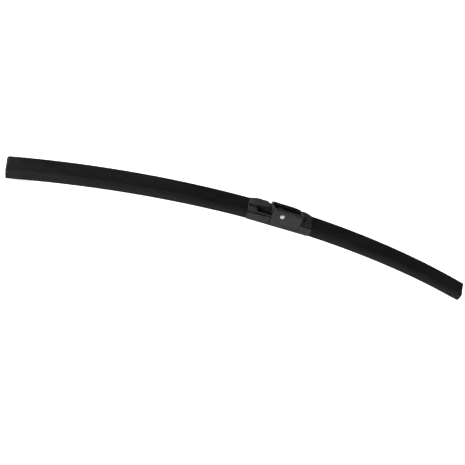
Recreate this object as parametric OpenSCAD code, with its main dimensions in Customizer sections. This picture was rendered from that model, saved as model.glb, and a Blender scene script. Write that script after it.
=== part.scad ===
// Flat wiper blade with a wind spoiler and a mid connector for a hook arm.
// X runs along the blade, Y across it with the windward side at -Y, and Z points away from the glass.
// The origin is on the spine of the bowed spring strips, straight under the pivot pin.

/* [Blade] */
// Length of the blade along its bow
blade_len = 550; // [520:5:600]
// Distance along the bow from the pin to the left end
left_len = 286.5; // [262:0.5:300]
// Radius of the unloaded bow
bow_r = 1212; // [1100:4:1600]

/* [Spring strips] */
// Width of each strip
strip_w = 4; // [3.6:0.1:4.4]
// Thickness of each strip
strip_t = 0.9; // [0.7:0.05:1.1]
// Clear distance between the two strips
strip_gap = 2.8; // [2.4:0.1:3.4]

/* [Rubber] */
// Half width of the flanges above and below the strips
flange_half = 4; // [3.6:0.1:4.4]
// Thickness of each flange
flange_t = 0.9; // [0.7:0.1:1.1]
// Half thickness of the neck that lets the lip tilt
neck_half = 0.7; // [0.5:0.1:1]
// Half width of the shoulders under the neck
shoulder_half = 2.7; // [2.2:0.1:3.2]
// Half thickness of the wiping lip
lip_half = 0.4; // [0.3:0.05:0.6]
// Depth of the lip's edge below the spine
lip_depth = 8; // [7.4:0.1:9]

/* [Spoiler] */
// Height of the fin's ridge above the spine
ridge_h = 13.5; // [11:0.5:15]
// Offset of the ridge towards the lee side
ridge_y = 4.7; // [4:0.1:5.4]
// Width of the ridge's flat
ridge_w = 0.9; // [0.6:0.1:1.4]
// Height of the crease where the fin meets the skirt
crease_h = 4.6; // [4:0.1:5.2]
// Distance of the crease from the middle
crease_y = 6.6; // [6.2:0.1:7]
// Half width across the skirts' feet
foot_half = 8.4; // [8:0.1:9]
// Depth of the skirts' feet below the spine
foot_depth = 4.7; // [4.2:0.1:5]
// Hollow of the fin's face, 1 for a straight face
fin_hollow = 1.4; // [1.1:0.05:1.6]

/* [End caps] */
// Length of each cap along the bow
cap_len = 16; // [12:1:24]
// Thickness of the cap's closed end
cap_end_t = 2; // [1.5:0.1:3]
// Radius of the left cap's upper corner
left_top_r = 5; // [3:0.5:8]
// Radius of the left cap's lower corner
left_foot_r = 1; // [0.5:0.25:3]
// Radius of the right cap's upper corner
right_top_r = 1; // [0.5:0.5:8]
// Radius of the right cap's lower corner
right_foot_r = 2.5; // [0.5:0.5:4.5]

/* [Connector] */
// Half length of the connector
conn_half = 38.5; // [37:0.5:44]
// Half width across the side rails
rail_half = 8.9; // [8.7:0.1:9.1]
// Height of the rails' upper edge
rail_top = 4.2; // [4:0.1:4.6]
// Thickness of the rails beside the side pockets
rail_wall = 1.3; // [1.1:0.1:1.6]
// Depth of the rails below the spine
rail_depth = 5.4; // [5:0.1:5.8]
// Radius of the rails' lower corners
rail_corner_r = 2.6; // [1:0.1:3]
// Height of the hood's deck
deck_h = 15.2; // [14.4:0.1:16.5]
// Thickness of the hood at its free end
hood_t = 2; // [1.8:0.1:3]
// Place of the hood's right end, where the open channel starts
hood_x = -14.6; // [-16:0.1:-14.2]
// Length of the end pads
pad_len = 9.6; // [8:0.1:11]
// Height of the lee wall that carries the hood
wall_h = 12.8; // [12.4:0.1:13]
// Depth of the shadow grooves over the pads
groove_in = 1.8; // [1:0.1:2.2]
// Gap between the cheeks and the right hood
end_gap = 1.1; // [0.8:0.1:1.6]
// Size of the ramp where the right hood starts between the cheeks
ramp = 0.8; // [0.6:0.1:2.4]
// Gap between the left rails and the cheeks' lobes
rail_gap = 1.2; // [0.8:0.1:1.6]
// Width of the parting line between the cheeks and the rails
line_gap = 0.6; // [0.4:0.1:0.8]

/* [Cheeks] */
// Half width across the cheeks' outer faces
cheek_half = 9.3; // [9.2:0.1:9.8]
// Thickness of each cheek
cheek_t = 2.9; // [2.7:0.1:3.1]
// Place of the cheeks' left edge
cheek_x0 = -11; // [-12:0.1:-10]
// Place of the cheeks' right edge
cheek_x1 = 23.4; // [22.6:0.1:24]
// Height of the cheeks' rims
cheek_h = 16.1; // [15.6:0.1:17]
// Height of the cheeks' lower edge over the rails
cheek_foot = -2.3; // [-3:0.1:-1.6]
// Width of the bevel at the cheeks' right end
bevel_w = 1.4; // [0.8:0.1:3]
// Height of the bevel at the cheeks' right end
bevel_h = 1.4; // [0.8:0.1:3]
// Height of the slope along the outside of the rims
rim_slope = 1.3; // [1:0.1:2]
// Angle by which that slope widens over the right end of the rims, in degrees
rim_flare = 8; // [4:0.5:10]
// Length of the lobe that runs down over the rail
lobe_len = 14; // [10:0.5:18]
// Radius of the lobe's lower corner
lobe_r = 4.2; // [2:0.1:5]
// How far the raised panel stands proud of the cheek
relief = 0.2; // [0.15:0.05:0.5]

/* [Pin and adapter] */
// Height of the pin's axis above the spine
pin_h = 9; // [8.6:0.1:9.4]
// Diameter of the pin's shank
pin_d = 3.8; // [3.6:0.1:4.2]
// Diameter of the pin's domed heads
head_d = 4.8; // [4.6:0.1:5.4]
// How far the domed heads stand out of the cheeks
head_h = 0.6; // [0.4:0.05:0.8]
// Outer diameter of the adapter's barrel
barrel_d = 8; // [7:0.1:8.4]
// Thickness of the adapter's side walls
wall_t = 1.4; // [1.2:0.1:1.6]
// Length of the adapter's nose from the pin
nose_len = 13; // [12:0.1:13.4]
// Length of the adapter's tail from the pin
tail_len = 21.5; // [19:0.1:22.5]

/* [Clearances] */
// Gap between the pin and the adapter's bore, on the radius
pin_gap = 0.05; // [0.02:0.01:0.1]
// Gap between the pin and the cheeks' bores, on the radius
seat_gap = 0.02; // [0.01:0.01:0.05]
// Gap between each adapter wall and its cheek
side_gap = 0.3; // [0.2:0.05:0.5]
// Gap round pieces that slide into each other at assembly
slip = 0.15; // [0.1:0.05:0.2]

/* [Hidden] */

// Segments in a full turn of the bow, and of everything else that is round
bow_fn = 900;
round_fn = 64;
// Degrees between the steps of a drawn corner
corner_step = 15;
// Steps along the hollow face of the fin
fin_steps = 8;
// Reach of cuts past the faces that they open
past = 1;
// Thickness of the end sections that a loft runs between
section_t = 0.4;

right_len = blade_len - left_len;
strip_out = strip_gap / 2 + strip_w;
// Half height of the slot that holds a strip
slot_half = strip_t / 2 + slip;
// Top of the rubber's upper flange, and underside of its lower one
flange_top = slot_half + flange_t;
neck_top = -flange_top;
// Height of the neck and of the shoulders
neck_h = 1;
shoulder_top = neck_top - neck_h;
shoulder_foot = shoulder_top - neck_h;
// Where the lip widens over its edge, and its waist under the shoulders
lip_step = [0.25, 1.4];
waist_half = 1.2;
waist_drop = 1.1;
// Ends of the strips and of the rubber inside the caps
inner_left = -left_len + cap_end_t + 2 * slip;
inner_right = right_len - cap_end_t - 2 * slip;
// Steps of the fin's lee face: below the ridge, over the crease's height, and twice below it
lee_step = [[0.7, 0.6], [0.4, 2], [0.3, 1.4], [0, 2.6]];
// Thickness of the floor over the rubber's head, and the channel between the cheeks
floor_t = 0.9;
floor_top = flange_top + slip + floor_t;
channel_half = cheek_half - cheek_t;
block_x = cheek_x1 + end_gap;
// How far the rails' upper edge has fallen at the connector's left and right end
rail_fall = [1.8, 0.6];
// How far the bow has fallen at the connector's ends
end_drop = bow_r - sqrt(bow_r * bow_r - conn_half * conn_half);
// Where the hood reaches its full height
knee_x = conn_half - pad_len;
// How far the pads start over the rails, and their foot there
pad_lift = 1;
pad_foot = rail_top + pad_lift;
// Run and rise of the pads' sloping face, and half their width at the foot, at the ends and inside
pad_run = 5.5;
pad_rise = 3.7;
pad_half = [7.8, 8.5];
// Place across of the hood's windward edge at the connector's ends, at the knee and at its free end
hood_near = [-0.8, -2.6, -3];
// Depth of that edge under the top there
hood_edge = [3.2, 4.2, hood_t];
// Place across where the flat top starts there, where it ends, and where the lee side ends
deck_near = [4.2, 2.6, -0.8];
deck_far = 5.6;
lee_half = 7;
// How much lower the hood reaches on its lee side
hood_lap = 1;
// Height of the top at the connector's ends
end_top = ridge_h - end_drop - slip;
// Corner that is cut off the hood's free end
hood_cut = [2.6, 1.5];
// Ledge under the side pocket
ledge_t = 1;
ledge_w = 1.2;
// How far the ramp's sides stand in from the cheeks
ramp_inset = 0.7;
// Small sizes of the cheeks and of the adapter
rim_r = 1.4;
rim_step = 0.4;
rim_flat = 0.6;
flare_x = 12.5;
panel_r = 2;
// Margins round the raised panel: from the pin's head, the right edge, the foot and the rim
panel_gap = [1.6, 1.2, 4.6, 1.5];
nose_t = 2.4;
tail_plate_x = 14.6;
latch_half = 2.6;
// Heights over the pin's axis along the adapter, and the corners that are cut off it
nose_foot = 0.2;
nose_h = 6;
nose_cut = 1.8;
tail_h = 5.4;
tail_cut = [3, 2.2];
stop_h = 2;
// The walls' skirts beside the barrel: reach to the left and right of it, and below it
skirt_x = [3.4, 4];
skirt_h = 0.4;
// The latch tongue and its stud
latch_x = barrel_d / 2 + skirt_x[0];
latch_t = 1.4;
stud_in = 0.6;
stud_h = 1.8;

// Angle along the bow, in degrees, of a distance along it
function turn(s) = s / bow_r * 180 / PI;

// The fin's hollow windward face, from the crease up to the ridge
function fin_face() = [for (i = [0:fin_steps]) let (t = i / fin_steps)
    [-crease_y + (ridge_y - ridge_w / 2 + crease_y) * t,
        crease_h + (ridge_h - crease_h) * pow(t, fin_hollow)]];

// The fin's steep lee face, from the ridge down to the lee foot
function lee_face() = [
    [ridge_y + ridge_w / 2, ridge_h],
    [ridge_y + ridge_w / 2 + lee_step[0][0], ridge_h - lee_step[0][1]],
    [crease_y + lee_step[1][0], crease_h + lee_step[1][1]],
    [foot_half - lee_step[2][0], crease_h - lee_step[2][1]],
    [foot_half, crease_h - lee_step[3][1]],
    [foot_half, -foot_depth]];

// Sections of the connector; i is 0 at its ends, 1 at the knee and 2 at the hood's free end
function box_section(half, z0, z1) = [[-half, z0], [-half, z1], [half, z1], [half, z0]];
function hood_section(i, top) = [
    [hood_near[i], top - hood_edge[i]], [deck_near[i], top], [deck_far, top],
    [lee_half, top - hood_edge[i] - hood_lap]];
function pad_section(i, foot) = [
    [-pad_half[i], foot], [pad_run - pad_half[i], foot + pad_rise],
    [lee_half, foot + pad_rise], [pad_half[i], foot]];
function groove_section(i, foot, top) = [
    [groove_in - pad_half[i], 0], [groove_in - pad_half[i], foot],
    [hood_near[i] + groove_in, top - hood_edge[i] - groove_in],
    [deck_near[i], top - section_t], [deck_far - section_t, top - section_t], [lee_half - section_t, foot],
    [lee_half - section_t, 0]];

// Outline of the spoiler and the caps, as [across, height]
function fin_outline() = concat([[-foot_half, -foot_depth]], fin_face(), lee_face());

// Opening for the strips and the rubber's head, open below past the skirts and the rails
function core_outline() = let (a = flange_half + slip, b = strip_out + slip, foot = -rail_depth - 2 * past) [
    [-a, foot], [-a, -slot_half], [-b, -slot_half], [-b, slot_half], [-a, slot_half],
    [-a, flange_top + slip], [a, flange_top + slip],
    [a, slot_half], [b, slot_half], [b, -slot_half], [a, -slot_half], [a, foot]];

// One side of the rubber, from the lip's edge up to the top of its head
function rubber_side() = let (stem = strip_gap / 2 - slip) [
    [lip_half, -lip_depth],
    [lip_half + lip_step[0], -lip_depth + lip_step[1]],
    [waist_half, shoulder_foot - waist_drop],
    [shoulder_half, shoulder_foot],
    [shoulder_half, shoulder_top],
    [neck_half, shoulder_top],
    [neck_half, neck_top],
    [flange_half, neck_top],
    [flange_half, -slot_half],
    [stem, -slot_half],
    [stem, slot_half],
    [flange_half, slot_half],
    [flange_half, flange_top]];

function mirrored(pts) = [for (i = [len(pts) - 1:-1:0]) [-pts[i][0], pts[i][1]]];

// Sweeps an [across, height] outline along the bow between two distances from the pin
module bow_sweep(s0, s1, pts) {
    translate([0, 0, -bow_r])
        rotate([90, 0, 0])
            rotate_extrude(angle = turn(s1 - s0), start = 90 - turn(s1), $fn = bow_fn)
                polygon([for (p = pts) [bow_r + p[1], -p[0]]]);
}

// Puts its children on the bow at a distance from the pin
module at_bow(s) {
    translate([bow_r * sin(turn(s)), 0, bow_r * (cos(turn(s)) - 1)])
        rotate([0, turn(s), 0])
            children();
}

// Extrudes a side outline, as [along, height], across the blade
module side_plate(y0, y1, pts) {
    translate([0, y1, 0])
        rotate([90, 0, 0])
            linear_extrude(y1 - y0)
                polygon(pts);
}

// Extrudes a cross outline, as [across, height], along the blade
module cross_plate(x0, x1, pts) {
    translate([x0, 0, 0])
        rotate([90, 0, 90])
            linear_extrude(x1 - x0)
                polygon(pts);
}

module both_sides() {
    children();
    mirror([0, 1, 0])
        children();
}

// What a rounding of radius r takes off a square edge that points along +X and +Z
module corner_waste(r) {
    translate([-r, 0, -r])
        difference() {
            translate([0, -foot_half - past, 0])
                cube([r + past, 2 * (foot_half + past), r + past]);
            rotate([90, 0, 0])
                cylinder(r = r, h = 2 * (foot_half + 2 * past), center = true, $fn = round_fn);
        }
}

// Blends one cross outline into another between two places along the blade
module loft(x0, pts0, x1, pts1) {
    hull() {
        cross_plate(x0, x0 + section_t, pts0);
        cross_plate(x1 - section_t, x1, pts1);
    }
}

// One end of the connector: pad and hood grow out of the fin's own section, with a shadow groove between
module connector_end(side) {
    inner = side < 0 ? knee_x - section_t : block_x;
    end_foot = pad_foot - end_drop;
    mirror([side < 0 ? 1 : 0, 0, 0]) {
        loft(knee_x, pad_section(1, pad_foot), conn_half, pad_section(0, end_foot));
        loft(knee_x, hood_section(1, deck_h), conn_half, hood_section(0, end_top));
        loft(knee_x, groove_section(1, pad_foot, deck_h), conn_half, groove_section(0, end_foot, end_top));
        for (pts = [pad_section(1, pad_foot), hood_section(1, deck_h), groove_section(1, pad_foot, deck_h)])
            cross_plate(inner, knee_x + section_t, pts);
    }
}

// The right hood's start between the cheeks, joined to the lee one
module hood_ramp() {
    x1 = block_x + section_t / 2;
    half = channel_half - ramp_inset;
    side_plate(-half, half, [[x1 - ramp, 0], [x1 - ramp, deck_h - ramp], [x1, deck_h], [x1, 0]]);
    side_plate(half - past, lee_half, [
        [cheek_x1 - section_t, 0], [cheek_x1 - section_t, deck_h - ramp - slip],
        [x1, deck_h - ramp - slip], [x1, 0]]);
}

// The two rails, cut down where the cheeks stand over them
module rails() {
    both_sides()
        side_plate(-rail_half, rail_wall - rail_half, concat(
            [[-conn_half, rail_top - rail_fall[0]], [cheek_x0 - rail_gap, rail_top],
                [cheek_x0 - rail_gap, cheek_foot - line_gap], [cheek_x1 + line_gap, cheek_foot - line_gap],
                [cheek_x1 + line_gap, rail_top], [conn_half, rail_top - rail_fall[1]]],
            [for (a = [0:corner_step:90]) [conn_half - rail_corner_r * (1 - cos(a)),
                -rail_depth + rail_corner_r * (1 - sin(a))]],
            [for (a = [90:-corner_step:0]) [-conn_half + rail_corner_r * (1 - cos(a)),
                -rail_depth + rail_corner_r * (1 - sin(a))]]));
}

// Side outline of a cheek, with the lobe that runs down over the rail
function cheek_outline() = concat(
    [for (a = [0:corner_step:90])
        [cheek_x0 + lobe_r * (1 - cos(a)), slip - rail_depth + lobe_r * (1 - sin(a))]],
    [[cheek_x0 + lobe_len, slip - rail_depth], [cheek_x0 + lobe_len, cheek_foot], [cheek_x1, cheek_foot],
        [cheek_x1, cheek_h - bevel_h], [cheek_x1 - bevel_w, cheek_h],
        [cheek_x0 + rim_r, cheek_h], [cheek_x0, cheek_h - rim_r]]);

module cheeks() {
    both_sides()
        difference() {
            union() {
                side_plate(-cheek_half, -channel_half, cheek_outline());
                cheek_panel();
            }
            cross_plate(cheek_x0 - past, cheek_x1 + past, [
                [-cheek_half - past, cheek_h - rim_slope],
                [-cheek_half + rim_step, cheek_h - rim_slope],
                [-channel_half - rim_flat, cheek_h + slip],
                [-cheek_half - past, cheek_h + slip]]);
            flare_cut();
        }
}

// Turns the slope of a rim outwards, so that it widens into a facet over the cheek's right end
module flare_cut() {
    fall = (rim_slope + slip) / (cheek_t - rim_flat - rim_step);
    reach = 3 * past;
    translate([flare_x, 0, 0])
        rotate([0, 0, rim_flare])
            cross_plate(-conn_half, cheek_x1, [
                [-cheek_half - reach, cheek_h - rim_slope - (reach + rim_step) * fall],
                [-channel_half + reach, cheek_h + slip + (reach + rim_flat) * fall],
                [-cheek_half - reach, cheek_h + slip + (reach + rim_flat) * fall]]);
}

// Raised panel on the right half of a cheek
module cheek_panel() {
    x0 = head_d / 2 + panel_gap[0] + panel_r;
    x1 = cheek_x1 - panel_gap[1] - panel_r;
    z0 = cheek_foot + panel_gap[2] + panel_r;
    z1 = cheek_h - rim_slope - panel_gap[3] - panel_r;
    translate([0, -cheek_half + past, 0])
        rotate([90, 0, 0])
            linear_extrude(relief + past)
                union() {
                    for (x = [x0, x1], z = [z0, z1])
                        translate([x, z])
                            circle(r = panel_r, $fn = round_fn);
                    translate([x0 - panel_r, z0])
                        square([x1 - x0 + 2 * panel_r, z1 - z0]);
                    translate([x0, z0 - panel_r])
                        square([x1 - x0, z1 - z0 + 2 * panel_r]);
                }
}

module connector_base() {
    color([0.16, 0.16, 0.17])
        difference() {
            union() {
                cross_plate(-conn_half, conn_half, [
                    [-rail_half + past, -rail_depth], [-rail_half + past, floor_top],
                    [rail_half - past, floor_top], [rail_half - past, -rail_depth]]);
                rails();
                for (span = [[-conn_half, pad_len - conn_half], [block_x, conn_half]])
                    cross_plate(span[0], span[1], box_section(pad_half[0] - groove_in, 0, pad_foot));
                connector_end(-1);
                connector_end(1);
                loft(-knee_x, hood_section(1, deck_h), hood_x, hood_section(2, deck_h));
                side_plate(channel_half, lee_half + hood_cut[1] - hood_lap, [
                    [-knee_x - section_t, 0], [-knee_x - section_t, wall_h], [cheek_x0 + section_t, wall_h],
                    [cheek_x0 + section_t, 0]]);
                both_sides()
                    translate([-knee_x - section_t, -pad_half[1], pad_foot])
                        cube([knee_x + cheek_x0 + 2 * section_t, ledge_w, ledge_t]);
                hood_ramp();
                cheeks();
            }
            bow_sweep(-conn_half - 2 * past, conn_half + 2 * past, core_outline());
            pin_bore(pin_d / 2 + seat_gap, cheek_half + past);
            side_plate(-lee_half - past, lee_half + past, [
                [hood_x - hood_cut[0], deck_h + slip], [hood_x - hood_cut[0], deck_h],
                [hood_x, deck_h - hood_cut[1]], [hood_x + slip, deck_h - hood_cut[1]],
                [hood_x + slip, deck_h + slip]]);
        }
}

// A bore on the pin's axis
module pin_bore(r, half) {
    translate([0, 0, pin_h])
        rotate([90, 0, 0])
            cylinder(r = r, h = 2 * half, center = true, $fn = round_fn);
}

module pivot_pin() {
    dome_r = (head_d * head_d / 4 + head_h * head_h) / (2 * head_h);
    color([0.82, 0.83, 0.84])
        union() {
            pin_bore(pin_d / 2, cheek_half);
            both_sides()
                intersection() {
                    translate([0, -cheek_half - head_h + dome_r, pin_h])
                        sphere(r = dome_r, $fn = 2 * round_fn);
                    translate([-head_d, -cheek_half - head_h - past, pin_h - head_d])
                        cube([2 * head_d, head_h + past, 2 * head_d]);
                }
        }
}

// Side outline of the adapter's walls, from the pin's axis
function wall_outline() = [
    [-nose_len, nose_foot], [-nose_len, nose_h - nose_cut], [nose_cut - nose_len, nose_h],
    [tail_len - tail_cut[0], tail_h], [tail_len, tail_h - tail_cut[1]], [tail_len, nose_foot],
    [barrel_d / 2 + skirt_x[1], -barrel_d / 2 - skirt_h],
    [-barrel_d / 2 - skirt_x[0], -barrel_d / 2 - skirt_h]];

module hook_adapter() {
    outer = channel_half - side_gap;
    inner = outer - wall_t;
    color([0.06, 0.06, 0.065])
        difference() {
            translate([0, 0, pin_h])
                union() {
                    both_sides()
                        side_plate(-outer, -inner, wall_outline());
                    rotate([90, 0, 0])
                        cylinder(r = barrel_d / 2, h = 2 * inner + wall_t, center = true, $fn = round_fn);
                    side_plate(-inner - wall_t / 2, inner + wall_t / 2, [
                        [-nose_len, nose_foot], [-nose_len, nose_h - nose_cut], [nose_cut - nose_len, nose_h],
                        [nose_t - nose_len, nose_h - slip], [nose_t - nose_len, nose_foot]]);
                    side_plate(-inner - wall_t / 2, inner + wall_t / 2, [
                        [tail_plate_x, nose_foot - latch_t], [tail_plate_x, nose_foot + skirt_h],
                        [tail_len - wall_t, stop_h], [tail_len, stop_h], [tail_len, nose_foot]]);
                    side_plate(-latch_half, latch_half, [
                        [latch_x, nose_foot - latch_t], [latch_x, nose_foot],
                        [tail_plate_x + past, nose_foot], [tail_plate_x + past, nose_foot - latch_t]]);
                    translate([latch_x + latch_half - skirt_h, 0, nose_foot - latch_t / 2])
                        cylinder(r = latch_half - stud_in, h = stud_h, $fn = round_fn);
                }
            pin_bore(pin_d / 2 + pin_gap, outer + past);
        }
}

module spoiler(side) {
    s_end = side < 0 ? -left_len + cap_len + slip : right_len - cap_len - slip;
    s_mid = side * (conn_half - 2 * past);
    color([0.09, 0.09, 0.095])
        difference() {
            bow_sweep(min(s_end, s_mid), max(s_end, s_mid), fin_outline());
            bow_sweep(min(s_end, s_mid) - past, max(s_end, s_mid) + past, core_outline());
            translate([-conn_half - slip, -rail_half - past, -conn_half])
                cube([2 * (conn_half + slip), 2 * (rail_half + past), 2 * conn_half]);
        }
}

module end_cap(side, top_r, foot_r) {
    s_end = side < 0 ? -left_len : right_len;
    s_in = s_end - side * cap_len;
    s_wall = s_end - side * cap_end_t;
    s_open = s_in - side * past;
    color([0.11, 0.11, 0.115])
        difference() {
            bow_sweep(min(s_in, s_end), max(s_in, s_end), fin_outline());
            bow_sweep(min(s_open, s_wall), max(s_open, s_wall), core_outline());
            at_bow(s_end)
                mirror([side < 0 ? 1 : 0, 0, 0]) {
                    translate([0, 0, ridge_h])
                        corner_waste(top_r);
                    translate([0, 0, -foot_depth])
                        mirror([0, 0, 1])
                            corner_waste(foot_r);
                }
        }
}

// A strip lies on one side of the rubber's stem: -1 is the windward side
module spring_strip(side) {
    y0 = side < 0 ? -strip_out : strip_gap / 2;
    color([0.62, 0.63, 0.65])
        bow_sweep(inner_left, inner_right, [
            [y0, -strip_t / 2], [y0, strip_t / 2],
            [y0 + strip_w, strip_t / 2], [y0 + strip_w, -strip_t / 2]]);
}

module wiper_rubber() {
    color([0.05, 0.05, 0.05])
        bow_sweep(inner_left, inner_right, concat(rubber_side(), mirrored(rubber_side())));
}

connector_base();
pivot_pin();
hook_adapter();
spoiler(-1);  // spoiler_left
spoiler(1);  // spoiler_right
end_cap(-1, left_top_r, left_foot_r);  // end_cap_left
end_cap(1, right_top_r, right_foot_r);  // end_cap_right
spring_strip(-1);  // spring_strip_front
spring_strip(1);  // spring_strip_rear
wiper_rubber();
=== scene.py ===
"""Dresses the flat wiper blade: each visible piece gets its real form and the finish of its real material.

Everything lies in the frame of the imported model: +X runs along the blade, the windward side faces -Y,
+Z points away from the glass, and the origin is on the spine straight under the pivot pin.
Sizes are in millimetres and turn into metres where points are placed; the studio's are in metres.
"""

import logging
import math
from collections.abc import Sequence
from dataclasses import dataclass
from enum import Enum

import bmesh
import bpy
from mathutils import Matrix, Vector


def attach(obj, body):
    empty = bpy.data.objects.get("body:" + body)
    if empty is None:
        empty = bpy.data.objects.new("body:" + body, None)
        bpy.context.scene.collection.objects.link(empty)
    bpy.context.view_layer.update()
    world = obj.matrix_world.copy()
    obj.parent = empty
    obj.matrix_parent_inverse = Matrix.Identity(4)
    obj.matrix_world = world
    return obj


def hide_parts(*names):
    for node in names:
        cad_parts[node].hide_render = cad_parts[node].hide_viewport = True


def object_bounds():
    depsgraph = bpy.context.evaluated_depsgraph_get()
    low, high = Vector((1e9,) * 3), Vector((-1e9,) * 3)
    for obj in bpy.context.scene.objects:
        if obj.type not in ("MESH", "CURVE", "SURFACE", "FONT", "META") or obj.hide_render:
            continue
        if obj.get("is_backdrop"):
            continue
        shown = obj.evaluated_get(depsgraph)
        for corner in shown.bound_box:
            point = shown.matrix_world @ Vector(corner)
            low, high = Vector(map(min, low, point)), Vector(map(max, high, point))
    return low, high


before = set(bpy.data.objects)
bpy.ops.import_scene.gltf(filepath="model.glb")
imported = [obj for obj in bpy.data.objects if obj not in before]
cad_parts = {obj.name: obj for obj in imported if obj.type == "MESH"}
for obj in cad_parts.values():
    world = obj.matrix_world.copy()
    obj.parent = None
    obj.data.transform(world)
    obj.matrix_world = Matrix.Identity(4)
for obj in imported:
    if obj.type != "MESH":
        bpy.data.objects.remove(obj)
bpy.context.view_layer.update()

MM = 0.001
PHOTO_SIDE = 465
LOG = logging.getLogger("wiper_blade")

Point = tuple[float, float]

# A corner whose half angle is past this, in degrees, counts as straight and is not rounded.
STRAIGHT = 89
# Largest share of a side that one rounding may take, so that two roundings never meet.
SIDE_SHARE = 0.48


class Side(Enum):
    """The two halves of the blade, left and right of the pin."""

    LEFT = -1
    RIGHT = 1


class Body(Enum):
    """The bodies that pieces ride on."""

    BLADE = "blade"
    ADAPTER = "adapter"


class Relief(Enum):
    """How a surface was made, as the stretch of its finest relief along X, Y and Z."""

    SPARK_ERODED = (1.0, 1.0, 1.0)
    DIE_DRAWN = (40.0, 1.0, 1.0)
    ROLLED = (90.0, 1.0, 1.0)
    TURNED = (1.0, 6.0, 1.0)


def linear(colour: str) -> tuple[float, float, float, float]:
    """Turns an sRGB hex colour into linear light, by the curve of the sRGB standard.

    Args:
        colour: The colour as "#rrggbb".

    Returns:
        Red, green, blue and a full alpha.
    """
    channels = [int(colour[i:i + 2], 16) / 255 for i in (1, 3, 5)]
    red, green, blue = (c / 12.92 if c <= 0.04045 else ((c + 0.055) / 1.055) ** 2.4 for c in channels)
    return red, green, blue, 1.0


def add_node(tree: bpy.types.NodeTree, kind: str, settings: dict,
             links: dict | None = None) -> bpy.types.Node:
    """Adds one node to a tree with its settings and its links.

    Args:
        tree: The tree that gets the node.
        kind: Blender's name for the type of node.
        settings: Values by the name of an input, or of a setting of the node itself.
        links: Output sockets by the name of the input that they feed.

    Returns:
        The new node.
    """
    node = tree.nodes.new(kind)
    for name, value in settings.items():
        if name in node.inputs:
            node.inputs[name].default_value = value
        else:
            setattr(node, name, value)
    for name, source in (links or {}).items():
        tree.links.new(source, node.inputs[name])
    return node


@dataclass(frozen=True)
class Finish:
    """A surface as its real material and the way that it was made.

    Attributes:
        name: Plain name of the material and its making.
        slot: The record's material slot that it belongs to; not used.
        colour: sRGB colour where the surface is clean and dense.
        bloom: sRGB colour where it is cloudier.
        roughness: Lowest roughness of the surface.
        spread: How much rougher the cloudy places are.
        ior: Refractive index.
        relief: How the surface was made.
        grain: Size of its finest relief across the stretch, in mm.
        depth: Depth of that relief, in mm.
        metallic: 1 for bare metal.
        cloud: Size of the cloudy places, in mm.
        gloss: Specular level, 0.5 for a dense clean surface and less for one that dust or pits dull.
        cloud_detail: Octaves of the cloudy pattern.
        cloud_roughness: Weight of its finer octaves.
        grain_detail: Octaves of the finest relief.
        rough_range: Values of the cloudy pattern between which the roughness rises.
        tint_range: Values of the cloudy pattern between which the colour turns.
    """

    name: str
    slot: str
    colour: str
    bloom: str
    roughness: float
    spread: float
    ior: float
    relief: Relief
    grain: float
    depth: float
    metallic: float = 0.0
    cloud: float = 18.0
    gloss: float = 0.5
    cloud_detail: float = 5.0
    cloud_roughness: float = 0.72
    grain_detail: float = 2.0
    rough_range: tuple[float, float] = (0.3, 0.7)
    tint_range: tuple[float, float] = (0.35, 0.75)

    def material(self) -> bpy.types.Material:
        """Builds the node material.

        Returns:
            The material, which is shared by all pieces of this finish.
        """
        found = bpy.data.materials.get(self.name)
        if found:
            return found
        made = bpy.data.materials.new(self.name)
        made.use_nodes = True
        tree = made.node_tree
        tree.nodes.clear()
        place = add_node(tree, "ShaderNodeTexCoord", {}).outputs["Object"]
        drawn = [1 / (self.cloud * MM * stretch ** 0.5) for stretch in self.relief.value]
        spread = add_node(tree, "ShaderNodeMapping", {"Scale": drawn}, {"Vector": place})
        clouds = add_node(
            tree, "ShaderNodeTexNoise",
            {"Scale": 1.0, "Detail": self.cloud_detail, "Roughness": self.cloud_roughness},
            {"Vector": spread.outputs["Vector"]})
        tint = self.tint(tree, clouds.outputs["Fac"])
        low, high = self.rough_range
        rough = add_node(
            tree, "ShaderNodeMapRange",
            {"From Min": low, "From Max": high,
             "To Min": self.roughness, "To Max": self.roughness + self.spread},
            {"Value": clouds.outputs["Fac"]})
        surface = add_node(
            tree, "ShaderNodeBsdfPrincipled",
            {"IOR": self.ior, "Metallic": self.metallic, "Specular IOR Level": self.gloss},
            {"Base Color": tint, "Roughness": rough.outputs["Result"], "Normal": self.bump(tree, place)})
        add_node(tree, "ShaderNodeOutputMaterial", {}, {"Surface": surface.outputs["BSDF"]})
        return made

    def tint(self, tree: bpy.types.NodeTree, clouds: bpy.types.NodeSocket) -> bpy.types.NodeSocket:
        """Adds the slight cloudiness of the colour.

        Args:
            tree: The material's tree.
            clouds: The pattern of the cloudy places.

        Returns:
            The colour socket.
        """
        ramp = add_node(tree, "ShaderNodeValToRGB", {}, {"Fac": clouds})
        for stop, value, colour in zip(ramp.color_ramp.elements, self.tint_range, (self.colour, self.bloom)):
            stop.position = value
            stop.color = linear(colour)
        return ramp.outputs["Color"]

    def bump(self, tree: bpy.types.NodeTree, place: bpy.types.NodeSocket) -> bpy.types.NodeSocket:
        """Adds the finest relief, which the tool or the die left in the surface.

        Args:
            tree: The material's tree.
            place: Object coordinates, in metres.

        Returns:
            The normal socket.
        """
        scale = [1 / (self.grain * MM * stretch) for stretch in self.relief.value]
        mapped = add_node(tree, "ShaderNodeMapping", {"Scale": scale}, {"Vector": place})
        grain = add_node(tree, "ShaderNodeTexNoise", {"Scale": 1.0, "Detail": self.grain_detail},
                         {"Vector": mapped.outputs["Vector"]})
        lift = add_node(tree, "ShaderNodeBump", {"Strength": 1.0, "Distance": self.depth * MM},
                        {"Height": grain.outputs["Fac"]})
        return lift.outputs["Normal"]

    def dress(self, piece: bpy.types.Object) -> None:
        """Puts the finish on a piece.

        Args:
            piece: The piece, which keeps its mesh.
        """
        piece.data.materials.clear()
        piece.data.materials.append(self.material())


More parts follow.
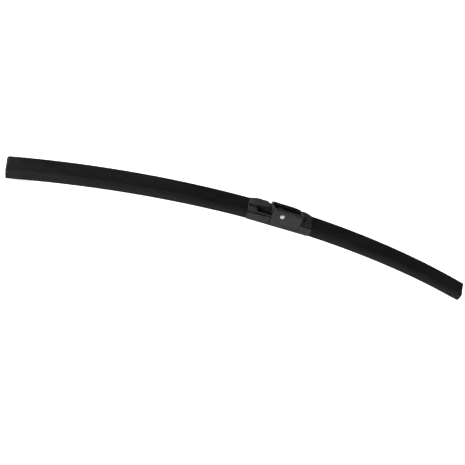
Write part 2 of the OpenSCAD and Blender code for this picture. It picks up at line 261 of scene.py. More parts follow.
# Real spark pits, die lines and rolling lines are 0.05 to 0.2 mm apart, too fine to show in the render,
# so every grain below is drawn coarser than the real one.

# Glass-filled nylon moulded in a spark-eroded tool: a matt charcoal that stands out grey beside the rubber.
MOULDED_NYLON = Finish(
    "nylon_moulded_spark_eroded", "connector_plastic", "#1d1d1d", "#2c2c2c", 0.5, 0.1, 1.53,
    Relief.SPARK_ERODED, grain=0.45, depth=0.004, cloud=14.0, gloss=0.15)
# Acetal moulded in a polished tool: a deep, smooth black, so the channel reads as a dark hollow.
MOULDED_ACETAL = Finish(
    "acetal_moulded_polished", "adapter_plastic", "#0e0e0f", "#131314", 0.3, 0.06, 1.48,
    Relief.SPARK_ERODED, grain=0.6, depth=0.002)
# EPDM rubber extruded through a die: a dull black with faint lines along the blade and a little grey bloom.
EXTRUDED_RUBBER = Finish(
    "rubber_extruded_die_drawn", "spoiler_rubber", "#0b0b0b", "#161616", 0.42, 0.12, 1.4,
    Relief.DIE_DRAWN, grain=0.9, depth=0.012, cloud=10.0, gloss=0.15)
# Polypropylene moulded to match the rubber it closes: the same dull black, without the lines of a die.
MOULDED_POLYPROPYLENE = Finish(
    "polypropylene_moulded_matt", "cap_plastic", "#0b0b0b", "#151515", 0.42, 0.12, 1.42,
    Relief.SPARK_ERODED, grain=0.8, depth=0.008, cloud=10.0, gloss=0.15)
# Natural rubber coated with graphite: a black as dull as slate, which hardly mirrors anything.
COATED_RUBBER = Finish(
    "rubber_moulded_graphite_coated", "wiping_rubber", "#101011", "#161617", 0.6, 0.12, 1.5,
    Relief.DIE_DRAWN, grain=0.4, depth=0.004)
# Cold-rolled spring steel: bare grey metal with fine rolling lines along the strip.
ROLLED_STEEL = Finish(
    "spring_steel_cold_rolled", "strip_steel", "#a9abae", "#9a9ca0", 0.26, 0.12, 1.5,
    Relief.ROLLED, grain=0.3, depth=0.003, metallic=1.0)
# Nickel-plated steel turned and riveted over: a bright head that shows as the one pale spot of the blade.
PLATED_STEEL = Finish(
    "steel_turned_nickel_plated", "rivet_steel", "#b2b1ae", "#a5a4a1", 0.16, 0.08, 1.5,
    Relief.TURNED, grain=0.25, depth=0.001, metallic=1.0, cloud=2.0)


@dataclass(frozen=True)
class Bow:
    """The unloaded bow that the whole blade follows.

    Attributes:
        radius: Radius of the spine.
    """

    radius: float = 1212.0

    def place(self, along: float, across: float, height: float) -> Vector:
        """Gives the point at a distance along the bow.

        Args:
            along: Distance from the pin along the spine.
            across: Distance towards the lee side.
            height: Height above the spine.

        Returns:
            The point, in metres.
        """
        turn = along / self.radius
        reach = self.radius + height
        return Vector((reach * math.sin(turn), across, reach * math.cos(turn) - self.radius)) * MM

    def place_at_x(self, x: float, across: float, height: float) -> Vector:
        """Gives the point of a line along the bow where it passes a plane of constant X.

        Args:
            x: Place of the plane.
            across: Distance towards the lee side.
            height: Height of the line above the spine.

        Returns:
            The point, in metres.
        """
        return self.place(self.radius * math.asin(x / (self.radius + height)), across, height)


@dataclass(frozen=True)
class Corner:
    """One corner of a cross-section.

    Attributes:
        across: Distance towards the lee side.
        height: Height above the spine.
        radius: Radius that rounds the corner.
    """

    across: float
    height: float
    radius: float = 0.0

    def beyond(self, across: float, height: float) -> "Corner":
        """Gives this corner as a step from a point, with its own radius."""
        return Corner(across + self.across, height + self.height, self.radius)


def rounded(corners: Sequence[Corner], steps: int = 4) -> list[Point]:
    """Rounds the corners of a closed outline.

    Args:
        corners: The corners in order.
        steps: Number of chords in each rounding.

    Returns:
        The points of the outline, as across and height.
    """
    points: list[Point] = []
    for i, corner in enumerate(corners):
        before, after = corners[i - 1], corners[(i + 1) % len(corners)]
        here = Vector((corner.across, corner.height))
        back = Vector((before.across, before.height)) - here
        ahead = Vector((after.across, after.height)) - here
        half = back.angle(ahead) / 2
        if corner.radius == 0 or half > math.radians(STRAIGHT):
            points.append((here.x, here.y))
            continue
        run = min(corner.radius / math.tan(half), SIDE_SHARE * back.length, SIDE_SHARE * ahead.length)
        radius = run * math.tan(half)
        middle = here + (back.normalized() + ahead.normalized()).normalized() * (radius / math.sin(half))
        start, end = here + back.normalized() * run - middle, here + ahead.normalized() * run - middle
        sweep = start.angle_signed(end)
        turns = [-sweep * k / steps for k in range(steps + 1)]
        points += [tuple(middle + Matrix.Rotation(turn, 2) @ start) for turn in turns]
    return points


class Skin:
    """Collects rings of points and the faces between them, and makes one closed piece of them."""

    def __init__(self) -> None:
        """Starts with no rings."""
        self.mesh = bmesh.new()

    def ring(self, points: Sequence[Vector]) -> list[bmesh.types.BMVert]:
        """Adds the points of one ring and returns them as vertices, in order."""
        return [self.mesh.verts.new(point) for point in points]

    def bridge(self, first: Sequence[bmesh.types.BMVert], second: Sequence[bmesh.types.BMVert]) -> None:
        """Joins two closed rings of the same length with a band of faces.

        Args:
            first: One ring.
            second: The next ring.
        """
        for i in range(len(first)):
            j = (i + 1) % len(first)
            self.mesh.faces.new((first[i], first[j], second[j], second[i]))

    def close(self, ring: Sequence[bmesh.types.BMVert]) -> None:
        """Closes a ring with one flat face."""
        self.mesh.faces.new(ring)

    def piece(self, name: str, body: Body, sharp: float = 28.0) -> bpy.types.Object:
        """Makes the piece: faces turned outwards, edges sharp past an angle and smooth below it.

        Args:
            name: Name of the piece.
            body: The body that it rides on.
            sharp: Angle between faces, in degrees, past which an edge stays sharp.

        Returns:
            The piece, in the scene and riding on its body.
        """
        bmesh.ops.recalc_face_normals(self.mesh, faces=self.mesh.faces)
        for face in self.mesh.faces:
            face.smooth = True
        for edge in self.mesh.edges:
            edge.smooth = edge.calc_face_angle(0.0) < math.radians(sharp)
        data = bpy.data.meshes.new(name)
        self.mesh.to_mesh(data)
        self.mesh.free()
        made = bpy.data.objects.new(name, data)
        bpy.context.scene.collection.objects.link(made)
        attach(made, body.value)
        LOG.info("%s: %d faces", name, len(data.polygons))
        return made


@dataclass(frozen=True)
class FinSection:
    """The cross-section that the spoiler halves and the end caps share.

    Attributes:
        ridge_h: Height of the ridge.
        ridge_y: Offset of the ridge towards the lee side.
        ridge_w: Width of the ridge's flat.
        crease_h: Height of the crease where the fin meets the skirt.
        crease_y: Distance of the crease from the middle.
        shoulder_y: Distance of the skirt's rounded shoulder from the middle.
        shoulder_h: Height of that shoulder.
        foot_half: Half width across the skirts' feet.
        foot_depth: Depth of the skirts' feet.
        hollow: Hollow of the fin's face, 1 for a straight face.
        face_steps: Chords along the hollow face.
        core_half: Half width of the opening for the rubber's head.
        slot_out: Half width across the strips' slots.
        slot_half: Half height of the strips' slots.
        core_top: Height of the opening.
        mouth_r: Radius of the edges along the opening below.
        foot_r: Radius of the skirts' outer edges.
        shoulder_r: Radius of the windward shoulder.
        crease_r: Radius that softens the crease.
        ridge_r: Radius of the ridge's windward and lee edge.
        lee_chamfer: Lee chamfer of the ridge, as a step from its lee edge.
        lee_waist: Lee waist, as a step from the height and the distance of the crease.
        lee_hip: Lee hip, as a step from the height of the crease and the skirt's side.
        lee_side: Top of the lee skirt's upright side, as a step from the same place.
    """

    ridge_h: float = 13.5
    ridge_y: float = 4.7
    ridge_w: float = 0.9
    crease_h: float = 4.6
    crease_y: float = 6.6
    shoulder_y: float = 8.1
    shoulder_h: float = 0.8
    foot_half: float = 8.4
    foot_depth: float = 4.7
    hollow: float = 1.2
    face_steps: int = 14
    core_half: float = 4.15
    slot_out: float = 5.55
    slot_half: float = 0.6
    core_top: float = 1.65
    mouth_r: float = 0.2
    foot_r: float = 0.5
    shoulder_r: float = 3.0
    crease_r: float = 5.0
    ridge_r: tuple[float, float] = (0.3, 0.35)
    lee_chamfer: Corner = Corner(0.7, -0.6, 0.4)
    lee_waist: Corner = Corner(0.4, 2.0, 1.5)
    lee_hip: Corner = Corner(-0.3, -1.4, 1.2)
    lee_side: Corner = Corner(0.0, -2.6, 1.0)

    def face(self) -> list[Corner]:
        """Gives the hollow windward face.

        Returns:
            Its corners, from just over the crease to just under the ridge.
        """
        low, high = -self.crease_y, self.ridge_y - self.ridge_w / 2
        rise = self.ridge_h - self.crease_h
        shares = [k / self.face_steps for k in range(1, self.face_steps)]
        return [Corner(low + (high - low) * t, self.crease_h + rise * t ** self.hollow) for t in shares]

    def outer(self) -> list[Corner]:
        """Gives the outside of the section.

        Returns:
            Its corners, from the windward foot over the ridge to the lee foot.
        """
        ridge_in, ridge_out = self.ridge_y - self.ridge_w / 2, self.ridge_y + self.ridge_w / 2
        return [
            Corner(-self.core_half, -self.foot_depth, self.mouth_r),
            Corner(-self.foot_half, -self.foot_depth, self.foot_r),
            Corner(-self.shoulder_y, self.shoulder_h, self.shoulder_r),
            Corner(-self.crease_y, self.crease_h, self.crease_r),
            *self.face(),
            Corner(ridge_in, self.ridge_h, self.ridge_r[0]),
            Corner(ridge_out, self.ridge_h, self.ridge_r[1]),
            self.lee_chamfer.beyond(ridge_out, self.ridge_h),
            self.lee_waist.beyond(self.crease_y, self.crease_h),
            self.lee_hip.beyond(self.foot_half, self.crease_h),
            self.lee_side.beyond(self.foot_half, self.crease_h),
            Corner(self.foot_half, -self.foot_depth, self.foot_r),
            Corner(self.core_half, -self.foot_depth, self.mouth_r)]

    def core(self) -> list[Corner]:
        """Gives the opening for the strips and the rubber's head.

        Returns:
            Its corners, from the lee side to the windward side.
        """
        right = [Corner(self.core_half, -self.slot_half), Corner(self.slot_out, -self.slot_half),
                 Corner(self.slot_out, self.slot_half), Corner(self.core_half, self.slot_half),
                 Corner(self.core_half, self.core_top)]
        return right + [Corner(-c.across, c.height) for c in reversed(right)]


@dataclass(frozen=True)
class Spoiler:
    """The extruded wind spoiler, in two halves that end inside the connector and the caps.

    Attributes:
        bow: The bow that it follows.
        section: Its cross-section.
        reach: Distance along the bow to the blade's left and right end.
        cap_len: Length of the caps that close it.
        gap: Gap round pieces that slide together.
        seam: Gap between the rubber's end and its cap.
        connector_half: Half length of the connector.
        pitch: Distance between the rings of the mesh.
    """

    bow: Bow
    section: FinSection
    reach: tuple[float, float] = (286.5, 263.5)
    cap_len: float = 16.0
    gap: float = 0.15
    seam: float = 0.04
    connector_half: float = 38.5
    pitch: float = 4.0

    def end(self, side: Side) -> float:
        """Gives the distance along the bow to one end of the blade, negative on the left."""
        return side.value * self.reach[0 if side is Side.LEFT else 1]

    def half(self, side: Side) -> bpy.types.Object:
        """Sweeps one half from the connector to its cap.

        Args:
            side: Which half.

        Returns:
            The piece.
        """
        outline = rounded(self.section.outer() + self.section.core())
        start = side.value * (self.connector_half + self.gap)
        stop = self.end(side) - side.value * (self.cap_len + self.seam)
        count = round(abs(stop - start) / self.pitch)
        skin = Skin()
        rings = [skin.ring([self.bow.place_at_x(start, y, n) for y, n in outline])]
        for k in range(1, count + 1):
            along = start + (stop - start) * k / count
            rings.append(skin.ring([self.bow.place(along, y, n) for y, n in outline]))
        for first, second in zip(rings, rings[1:]):
            skin.bridge(first, second)
        skin.close(rings[0])
        skin.close(rings[-1])
        name = side.name.lower()
        made = skin.piece(f"spoiler_rubber_{name}", Body.BLADE)
        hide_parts(f"spoiler_{name}")
        return made

    def build(self) -> None:
        """Builds and dresses both halves."""
        for side in Side:
            EXTRUDED_RUBBER.dress(self.half(side))


@dataclass(frozen=True)
class EndCap:
    """A moulded cap that closes one end of the blade.

    Attributes:
        spoiler: The spoiler that it continues.
        side: The end that it closes.
        top_r: Radius of the upper corner, seen from the side.
        foot_r: Radius of the lower corner, seen from the side.
        wall: Thickness of the closed end.
        edge: Width of the rounding round the closed end.
        centre_y: Place across the blade that this rounding draws in to.
        steps: Rings in each rounding.
    """

    spoiler: Spoiler
    side: Side
    top_r: float
    foot_r: float
    wall: float = 2.0
    edge: float = 0.5
    centre_y: float = 1.0
    steps: int = 8

    def trimmed(self, point: Point, left: float) -> Point:
        """Brings a point of the section inside the corner roundings and the rounded edge of the end.

        Args:
            point: The point, as across and height.
            left: Distance that is left to the closed end.

        Returns:
            The trimmed point.
        """
        across, height = point
        section = self.spoiler.section
        crease = section.crease_h
        if height > crease:
            lowered = 1 - self.fall(self.top_r, left) / (section.ridge_h - crease)
            height = crease + (height - crease) * lowered
        height = max(height, self.fall(self.foot_r, left) - section.foot_depth)
        share = 1 - self.fall(self.edge, left) / (section.foot_half + section.foot_depth)
        return self.centre_y + (across - self.centre_y) * share, crease + (height - crease) * share

    @staticmethod
    def fall(radius: float, left: float) -> float:
        """Gives how far a rounding of some radius has fallen away at a distance from the end."""
        return 0.0 if left >= radius else radius - math.sqrt(radius ** 2 - (radius - left) ** 2)

    def stations(self) -> list[float]:
        """Gives the distances from the closed end at which the roundings and the wall need rings.

        Returns:
            The distances, the largest one first.
        """
        far = max(self.top_r, self.foot_r, self.wall)
        turns = [math.pi / 2 * k / self.steps for k in range(self.steps + 1)]
        radii = (self.top_r, self.foot_r, self.edge)
        roundings = {round(r * (1 - math.cos(a)), 3) for r in radii for a in turns}
        return sorted({d for d in roundings if d < far} | {self.wall}, reverse=True)

    def build(self) -> None:
        """Builds the cap as one closed shell, open below along the rubber, and dresses it."""
        section, bow = self.spoiler.section, self.spoiler.bow
        outer = rounded(section.outer())
        core = rounded(section.core())
        end = self.spoiler.end(self.side)
        sign = self.side.value
        name = self.side.name.lower()

        def points(outline: Sequence[Point], left: float) -> list[Vector]:
            """Places an outline at a distance from the closed end."""
            return [bow.place(end - sign * left, *self.trimmed(point, left)) for point in outline]

        skin = Skin()
        hollow = [self.spoiler.cap_len] + [d for d in self.stations() if d > self.wall] + [self.wall]
        solid = [d for d in self.stations() if d < self.wall]
        outer_rings = [skin.ring(points(outer, left)) for left in hollow]
        core_rings = [skin.ring([bow.place(end - sign * left, *point) for point in core]) for left in hollow]
        whole = [a + b for a, b in zip(outer_rings, core_rings)]
        for first, second in zip(whole, whole[1:]):
            skin.bridge(first, second)
        skin.close(whole[0])
        skin.close([outer_rings[-1][0], *reversed(core_rings[-1]), outer_rings[-1][-1]])
        last = outer_rings[-1]
        for left in solid:
            ring = skin.ring(points(outer, left))
            skin.bridge(last, ring)
            last = ring
        skin.close(last)
        made = skin.piece(f"cap_{name}", Body.BLADE)
        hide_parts(f"end_cap_{name}")
        MOULDED_POLYPROPYLENE.dress(made)


@dataclass(frozen=True)
class BladeCore:
    """The two spring strips and the wiping rubber that they carry.

    Attributes:
        spoiler: The spoiler that hides them.
        wall: Thickness of the caps' closed ends.
        strip_w: Width of a strip.
        strip_t: Thickness of a strip.
        strip_gap: Distance between the strips.
        flange_half: Half width of the rubber's flanges.
        flange_top: Height of the upper flange.
        neck_half: Half thickness of the neck.
        shoulder_half: Half width of the shoulders.
        waist_half: Half thickness of the waist under the shoulders.
        lip_half: Half thickness of the lip.
        lip_depth: Depth of the lip's edge.
        lip_swell: How far the lip thickens above its edge, as a step from that edge with its radius.
        waist_drop: Distance from the shoulders' underside down to the waist.
        step: Height of the neck under the flanges, and of the shoulders.
        fold_r: Radius of the corners of neck and shoulders.
        waist_r: Radius of the waist.
        flange_r: Radius of the flanges' outer edges.
        edge_r: Radius of the lip's edge, and of the edges round the slots.
        strip_r: Radius of the strips' edges.
        pitch: Distance between the rings of the mesh.
    """

    spoiler: Spoiler
    wall: float = EndCap.wall
    strip_w: float = 4.0
    strip_t: float = 0.9
    strip_gap: float = 2.8
    flange_half: float = 4.0
    flange_top: float = 1.5
    neck_half: float = 0.7
    shoulder_half: float = 2.7
    waist_half: float = 1.2
    lip_half: float = 0.4
    lip_depth: float = 8.0
    lip_swell: Corner = Corner(0.25, 1.4, 1.5)
    waist_drop: float = 1.1
    step: float = 1.0
    fold_r: float = 0.25
    waist_r: float = 1.2
    flange_r: float = 0.15
    edge_r: float = 0.1
    strip_r: float = 0.2
    pitch: float = 5.0

    def swept(self, name: str, outline: Sequence[Point]) -> bpy.types.Object:
        """Sweeps an outline along the bow from cap to cap.

        Args:
            name: Name of the piece.
            outline: The closed cross-section, as across and height.

        Returns:
            The piece.
        """
        inset = self.wall + 2 * self.spoiler.gap
        start, stop = self.spoiler.end(Side.LEFT) + inset, self.spoiler.end(Side.RIGHT) - inset
        count = round((stop - start) / self.pitch)
        places = [start + (stop - start) * k / count for k in range(count + 1)]
        bow = self.spoiler.bow
        skin = Skin()
        rings = [skin.ring([bow.place(along, *point) for point in outline]) for along in places]
        for first, second in zip(rings, rings[1:]):
            skin.bridge(first, second)
        skin.close(rings[0])
        skin.close(rings[-1])
        return skin.piece(name, Body.BLADE)

    def strip(self, windward: bool) -> bpy.types.Object:
        """Sweeps one rolled strip with its edges rounded.

        Args:
            windward: Whether it is the strip on the windward side.

        Returns:
            The piece.
        """
        near, far = self.strip_gap / 2, self.strip_gap / 2 + self.strip_w
        low, high = (-far, -near) if windward else (near, far)
        half = self.strip_t / 2
        sides = ((low, -half), (low, half), (high, half), (high, -half))
        corners = [Corner(across, height, self.strip_r) for across, height in sides]
        name = "front" if windward else "rear"
        made = self.swept(f"spring_{name}", rounded(corners, steps=3))
        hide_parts(f"spring_strip_{name}")
        return made

    def rubber(self) -> bpy.types.Object:
        """Sweeps the wiping rubber: flanges, neck, shoulders and the tapering lip.

        Returns:
            The piece.
        """
        slot = self.spoiler.section.slot_half
        stem = self.strip_gap / 2 - self.spoiler.gap
        neck_top = -self.flange_top
        shoulder_top, shoulder_foot = neck_top - self.step, neck_top - 2 * self.step
        right = [
            Corner(self.lip_half, -self.lip_depth, self.edge_r),
            self.lip_swell.beyond(self.lip_half, -self.lip_depth),
            Corner(self.waist_half, shoulder_foot - self.waist_drop, self.waist_r),
            Corner(self.shoulder_half, shoulder_foot, self.fold_r),
            Corner(self.shoulder_half, shoulder_top, self.fold_r),
            Corner(self.neck_half, shoulder_top, self.fold_r),
            Corner(self.neck_half, neck_top, self.fold_r),
            Corner(self.flange_half, neck_top, self.flange_r),
            Corner(self.flange_half, -slot, self.edge_r),
            Corner(stem, -slot, self.edge_r),
            Corner(stem, slot, self.edge_r),
            Corner(self.flange_half, slot, self.edge_r),
            Corner(self.flange_half, self.flange_top, self.flange_r)]
        left = [Corner(-c.across, c.height, c.radius) for c in reversed(right)]
        made = self.swept("wiping_lip", rounded(right + left, steps=3))
        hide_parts("wiper_rubber")
        return made

    def build(self) -> None:
        """Builds and dresses the strips and the rubber."""
        for windward in (True, False):
            ROLLED_STEEL.dress(self.strip(windward))
        COATED_RUBBER.dress(self.rubber())


@dataclass(frozen=True)
class PivotPin:
    """The riveted pin that the adapter turns on.

    Attributes:
        height: Height of its axis.
        shank_r: Radius of the shank.
        head_r: Radius of the domed heads.
        head_h: How far the heads stand out.
        cheek_half: Half width across the cheeks that hold it.
        taper: How much narrower a head is at its foot.
        facets: Facets round the pin.
        dome_steps: Rings over a dome.
    """

    height: float = 9.0
    shank_r: float = 1.9
    head_r: float = 2.4
    head_h: float = 0.6
    cheek_half: float = 9.3
    taper: float = 0.02
    facets: int = 48
    dome_steps: int = 6

    def profile(self) -> list[Point]:
        """Gives the profile of one end, from the top of the head down to the shank.

        Returns:
            Its points, as radius and distance from the middle.
        """
        dome_r = (self.head_r ** 2 + self.head_h ** 2) / (2 * self.head_h)
        reach = math.asin(self.head_r / dome_r)
        crown = self.cheek_half + self.head_h - dome_r
        angles = [reach * k / self.dome_steps for k in range(1, self.dome_steps + 1)]
        dome = [(dome_r * math.sin(a), crown + dome_r * math.cos(a)) for a in angles]
        return dome + [(self.head_r - self.taper, self.cheek_half), (self.shank_r, self.cheek_half)]

    def build(self) -> None:
        """Turns the pin about its axis and dresses it."""
        side = self.profile()
        line = side + [(r, -y) for r, y in reversed(side)]
        skin = Skin()
        turns = [2 * math.pi * k / self.facets for k in range(self.facets)]
        rings = [skin.ring([Vector((r * math.cos(a), y, self.height + r * math.sin(a))) * MM for a in turns])
                 for r, y in line]
        for first, second in zip(rings, rings[1:]):
            skin.bridge(first, second)
        skin.close(rings[0])
        skin.close(rings[-1])
        made = skin.piece("rivet", Body.BLADE)
        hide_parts("pivot_pin")
        PLATED_STEEL.dress(made)


@dataclass(frozen=True)
class Slot:
    """A straight slot that the tool leaves in a moulding, deeper than the solid shows it.

    Attributes:
        middle: Middle of the box that it takes out, in mm.
        along: Direction of its length.
        into: Direction into the moulding, square to its length or nearly so.
        size: Length, depth and height of the box, in mm.
    """

    middle: tuple[float, float, float]
    along: tuple[float, float, float]
    into: tuple[float, float, float]
    size: tuple[float, float, float]

    def cut(self, group: bpy.types.NodeTree, mesh: bpy.types.NodeSocket) -> bpy.types.NodeSocket:
        """Adds the nodes that take the slot out of a mesh.

        Args:
            group: The group that gets the nodes.
            mesh: The mesh to cut.

        Returns:
            The cut mesh.
        """
        length = Vector(self.along).normalized()
        height = length.cross(Vector(self.into)).normalized()
        turn = Matrix((length, height.cross(length), height)).transposed().to_euler()
        box = add_node(group, "GeometryNodeMeshCube", {"Size": Vector(self.size) * MM})
        placed = add_node(group, "GeometryNodeTransform",
                          {"Translation": Vector(self.middle) * MM, "Rotation": turn},
                          {"Geometry": box.outputs["Mesh"]})
        cut = add_node(group, "GeometryNodeMeshBoolean", {"operation": "DIFFERENCE", "solver": "EXACT"},
                       {"Mesh 1": mesh, "Mesh 2": placed.outputs["Geometry"]})
        return cut.outputs["Mesh"]


@dataclass(frozen=True)
class Moulding:
    """A moulded piece that keeps the solid of its node and gets the slots and roundings of its tool.

    Attributes:
        node: Name of the node.
        finish: Its finish.
        edge: Width of the rounding along its edges.
        slots: The slots that are cut into it.
        blend: Angle between faces, in degrees, below which the tool blends them.
        sharp: Angle between faces, in degrees, past which their edge is rounded.
        flat: Angle between faces, in degrees, below which they count as one face.
        near: Distance below which corners count as one.
        segments: Chords in a rounding.
    """

    node: str
    finish: Finish
    edge: float
    slots: tuple[Slot, ...] = ()
    blend: float = 22.0
    sharp: float = 28.0
    flat: float = 0.5
    near: float = 0.002
    segments: int = 3

    def group(self, name: str) -> bpy.types.NodeTree:
        """Starts a node group that takes and gives geometry, for a modifier.

        Args:
            name: What the group does.

        Returns:
            The group, with nothing between its ends yet.
        """
        group = bpy.data.node_groups.new(f"{name}_{self.node}", "GeometryNodeTree")
        for way in ("INPUT", "OUTPUT"):
            group.interface.new_socket("Geometry", in_out=way, socket_type="NodeSocketGeometry")
        return group

    def slotting(self) -> bpy.types.NodeTree:
        """Builds the node group that cuts the slots.

        Returns:
            The group for a geometry modifier.
        """
        group = self.group("slotting")
        mesh = add_node(group, "NodeGroupInput", {}).outputs["Geometry"]
        for slot in self.slots:
            mesh = slot.cut(group, mesh)
        add_node(group, "NodeGroupOutput", {}, {"Geometry": mesh})
        return group

    def blending(self) -> bpy.types.NodeTree:
        """Builds the node group that shades faces smoothly across all but the sharp edges.

        Returns:
            The group for a geometry modifier.
        """
        group = self.group("blending")
        start = add_node(group, "NodeGroupInput", {})
        faces = add_node(group, "GeometryNodeSetShadeSmooth", {"domain": "FACE"},
                         {"Geometry": start.outputs["Geometry"]})
        angle = add_node(group, "GeometryNodeInputMeshEdgeAngle", {})
        soft = add_node(group, "FunctionNodeCompare",
                        {"operation": "LESS_THAN", "B": math.radians(self.blend)},
                        {"A": angle.outputs["Unsigned Angle"]})
        edges = add_node(group, "GeometryNodeSetShadeSmooth", {"domain": "EDGE"},
                         {"Geometry": faces.outputs["Geometry"], "Shade Smooth": soft.outputs["Result"]})
        add_node(group, "NodeGroupOutput", {}, {"Geometry": edges.outputs["Geometry"]})
        return group

    def build(self) -> None:
        """Cuts the slots and rounds the edges with modifiers, which leave the node's own mesh as it is."""
        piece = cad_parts[self.node]
        weld = piece.modifiers.new("joined_faces", "WELD")
        weld.merge_threshold = self.near * MM
        if self.slots:
            piece.modifiers.new("cut_slots", "NODES").node_group = self.slotting()
        whole = piece.modifiers.new("whole_faces", "DECIMATE")
        whole.decimate_type = "DISSOLVE"
        whole.angle_limit = math.radians(self.flat)
        piece.modifiers.new("blended_faces", "NODES").node_group = self.blending()
        bevel = piece.modifiers.new("rounded_edges", "BEVEL")
        bevel.width = self.edge * MM
        bevel.segments = self.segments
        bevel.limit_method = "ANGLE"
        bevel.angle_limit = math.radians(self.sharp)
        bevel.harden_normals = True
        bevel.use_clamp_overlap = True
        self.finish.dress(piece)
        LOG.info("%s: edges rounded by %.2f mm", self.node, self.edge)


# The groove that parts the left hood from the pad under it, which shows as a dark line.
HOOD_SLOT = Slot(middle=(-32.45, -1.98, 8.71), along=(3.5, -0.64, 0.28), into=(0.0, 0.863, -0.505),
                 size=(10.1, 8.4, 2.4))


@dataclass(frozen=True)
class Viewpoint:
    """The photograph's viewpoint.

    Attributes:
        azimuth: Direction from the object to the camera, 0 in front and negative to the left.
        elevation: Angle above the horizon.
        roll: Turn about the line of sight.
        distance: Distance from the target.
        focal_px: Focal length, in pixels of the photograph.
        target: Point that the camera looks at.
        sensor: Width of the sensor.
    """

    azimuth: float = -19.991
    elevation: float = 28.799
    roll: float = 25.73
    distance: float = 716.752
    focal_px: float = 650.409
    target: tuple[float, float, float] = (-40.551, 0.0, -31.871)
    sensor: float = 36.0

    def build(self) -> None:
        """Makes the camera."""
        turn, rise, roll = (math.radians(v) for v in (self.azimuth, self.elevation, self.roll))
        level_part = math.cos(rise)
        back = Vector((math.sin(turn) * level_part, -math.cos(turn) * level_part, math.sin(rise)))
        level = (-back).cross(Vector((0, 0, 1))).normalized()
        upright = level.cross(-back)
        right = level * math.cos(roll) + upright * math.sin(roll)
        up = upright * math.cos(roll) - level * math.sin(roll)
        camera = bpy.data.objects.new("viewpoint", bpy.data.cameras.new("viewpoint"))
        bpy.context.scene.collection.objects.link(camera)
        stand = Matrix((right, up, back)).transposed().to_4x4()
        stand.translation = (Vector(self.target) + back * self.distance) * MM
        camera.matrix_world = stand
        camera.data.sensor_width = self.sensor
        camera.data.lens = self.sensor * self.focal_px / PHOTO_SIDE
        bpy.context.scene.camera = camera


@dataclass(frozen=True)
class Lamp:
    """One softbox.

    Attributes:
        name: Its name.
        stand: Where it stands, in metres.
        side: Its side length, in metres.
        watts: Its power.
    """

    name: str
    stand: tuple[float, float, float]
    side: float
    watts: float

    def build(self) -> None:
        """Makes the lamp and points it at the pin."""
        light = bpy.data.lights.new(self.name, "AREA")
        light.size = self.side
        light.energy = self.watts
        lamp = bpy.data.objects.new(self.name, light)
        bpy.context.scene.collection.objects.link(lamp)
        lamp.location = self.stand
        lamp.rotation_mode = "QUATERNION"
        lamp.rotation_quaternion = (-Vector(self.stand)).to_track_quat("-Z", "Y")


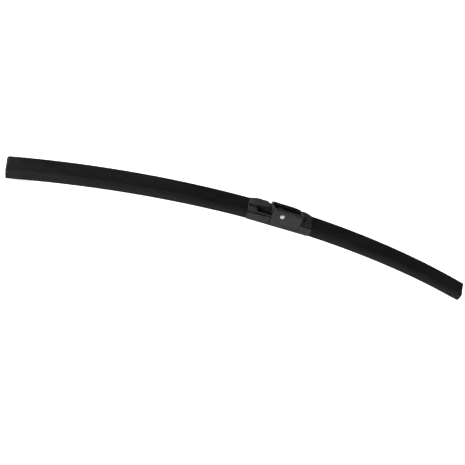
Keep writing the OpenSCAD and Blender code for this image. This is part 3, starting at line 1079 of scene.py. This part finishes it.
@dataclass(frozen=True)
class Studio:
    """A plain pale floor and soft light, brightest from the left.

    Attributes:
        floor_side: Side length of the floor, in metres.
        floor_colour: sRGB colour of the floor.
        floor_glow: Light that the floor gives by itself, which keeps it pale under the blade.
        floor_roughness: Roughness of the floor's paper.
        floor_gloss: Specular level of the floor's paper.
        walls: sRGB colour of the room's walls, up to the first of the two heights.
        ceiling: sRGB colour of the room's ceiling, from the second of the two heights.
        fade: Heights between which the walls turn into the ceiling, as sines of the angle above the horizon.
        lamps: The softboxes.
    """

    floor_side: float = 12.0
    floor_colour: str = "#f4f4f4"
    floor_glow: float = 0.8
    floor_roughness: float = 0.9
    floor_gloss: float = 0.1
    walls: str = "#ffffff"
    ceiling: str = "#898989"
    fade: tuple[float, float] = (0.12, 0.36)
    lamps: tuple[Lamp, ...] = (
        Lamp("softbox_left", (-2.6, 0.5, 1.2), 1.2, 100.0),
        Lamp("softbox_front", (-1.3, -1.2, 0.4), 0.8, 28.0))

    def floor(self, height: float) -> None:
        """Lays the floor.

        Args:
            height: Height of the floor, in metres.
        """
        half = self.floor_side / 2
        data = bpy.data.meshes.new("floor")
        corners = [(-half, -half, height), (half, -half, height), (half, half, height), (-half, half, height)]
        data.from_pydata(corners, [], [(0, 1, 2, 3)])
        material = bpy.data.materials.new("floor_paper_matt")
        material.use_nodes = True
        tree = material.node_tree
        tree.nodes.clear()
        surface = add_node(tree, "ShaderNodeBsdfPrincipled", {
            "Base Color": linear(self.floor_colour), "Roughness": self.floor_roughness,
            "Specular IOR Level": self.floor_gloss,
            "Emission Color": linear(self.floor_colour), "Emission Strength": self.floor_glow})
        add_node(tree, "ShaderNodeOutputMaterial", {}, {"Surface": surface.outputs["BSDF"]})
        data.materials.append(material)
        made = bpy.data.objects.new("floor", data)
        bpy.context.scene.collection.objects.link(made)
        made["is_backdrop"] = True

    def room(self) -> None:
        """Surrounds the floor with pale walls under a dim ceiling, which keeps the fin's face dark."""
        world = bpy.data.worlds.new("room")
        bpy.context.scene.world = world
        world.use_nodes = True
        tree = world.node_tree
        tree.nodes.clear()
        way = add_node(tree, "ShaderNodeTexCoord", {}).outputs["Generated"]
        parts = add_node(tree, "ShaderNodeSeparateXYZ", {}, {"Vector": way})
        ramp = add_node(tree, "ShaderNodeValToRGB", {}, {"Fac": parts.outputs["Z"]})
        for stop, height, colour in zip(ramp.color_ramp.elements, self.fade, (self.walls, self.ceiling)):
            stop.position = height
            stop.color = linear(colour)
        light = add_node(tree, "ShaderNodeBackground", {}, {"Color": ramp.outputs["Color"]})
        add_node(tree, "ShaderNodeOutputWorld", {}, {"Surface": light.outputs["Background"]})

    def build(self, floor_height: float) -> None:
        """Sets the studio up.

        Args:
            floor_height: Height of the floor, in metres.
        """
        self.floor(floor_height)
        self.room()
        for lamp in self.lamps:
            lamp.build()
        bpy.context.scene.view_settings.view_transform = "Standard"


def main() -> None:
    """Builds the blade's sub-assemblies in order, then the studio round them."""
    logging.basicConfig(level=logging.INFO, format="%(name)s: %(message)s")
    Viewpoint().build()
    spoiler = Spoiler(Bow(), FinSection())
    spoiler.build()
    EndCap(spoiler, Side.LEFT, top_r=3.0, foot_r=1.0).build()
    EndCap(spoiler, Side.RIGHT, top_r=1.0, foot_r=2.5).build()
    BladeCore(spoiler).build()
    PivotPin().build()
    Moulding("connector_base", MOULDED_NYLON, edge=0.25, slots=(HOOD_SLOT,)).build()
    Moulding("hook_adapter", MOULDED_ACETAL, edge=0.15).build()
    Studio().build(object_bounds()[0].z)


if __name__ == "__main__":
    main()
